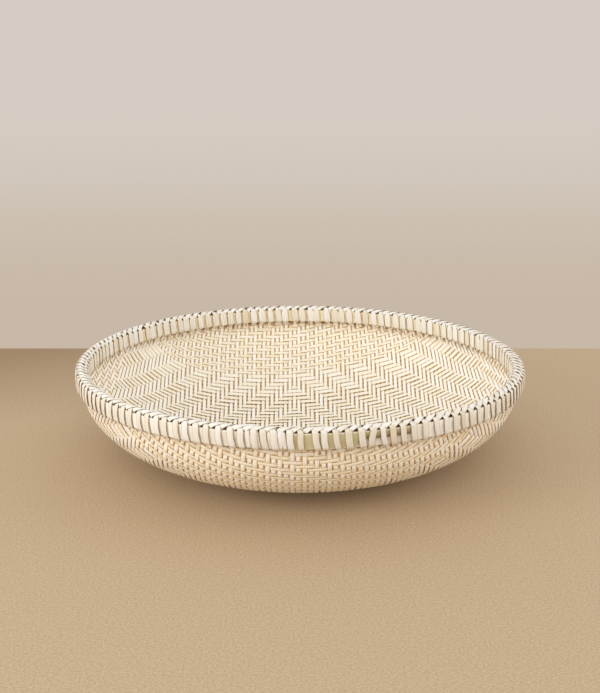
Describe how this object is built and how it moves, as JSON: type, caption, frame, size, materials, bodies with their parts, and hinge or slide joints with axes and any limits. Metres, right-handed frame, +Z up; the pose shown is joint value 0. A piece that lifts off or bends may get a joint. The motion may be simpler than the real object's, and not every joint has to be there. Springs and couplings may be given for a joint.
{
  "type": "woven bamboo basket",
  "caption": "Shallow round woven bamboo bowl with a rounded bottom and a rim of inner and outer hoops, lashed with flat bamboo strip.",
  "frame": {"origin": "centre of the flat underside, where the bowl rests", "axes": "+Z up through the mouth; -Y is the front, where the outer hoop's tail shows"},
  "size_m": [0.41, 0.41, 0.0894],
  "materials": {
    "woven_bamboo": "split bamboo splints, bare and matt, woven in twill",
    "bamboo_skin": "split bamboo with its khaki skin outwards, satin",
    "bamboo_band": "split bamboo, pale, satin",
    "bamboo_core": "split bamboo, bare",
    "bamboo_strip": "thin shaved bamboo strip, cream, satin"
  },
  "bodies": {
    "root": {"woven_mat": "woven_bamboo", "outer_hoop": "bamboo_skin", "inner_hoop": "bamboo_band", "rim_core": "bamboo_core", "lashing_1": "bamboo_strip", "lashing_2": "bamboo_strip", "lashing_3": "bamboo_strip", "lashing_4": "bamboo_strip", "lashing_5": "bamboo_strip", "lashing_6": "bamboo_strip"}
  },
  "joints": []
}
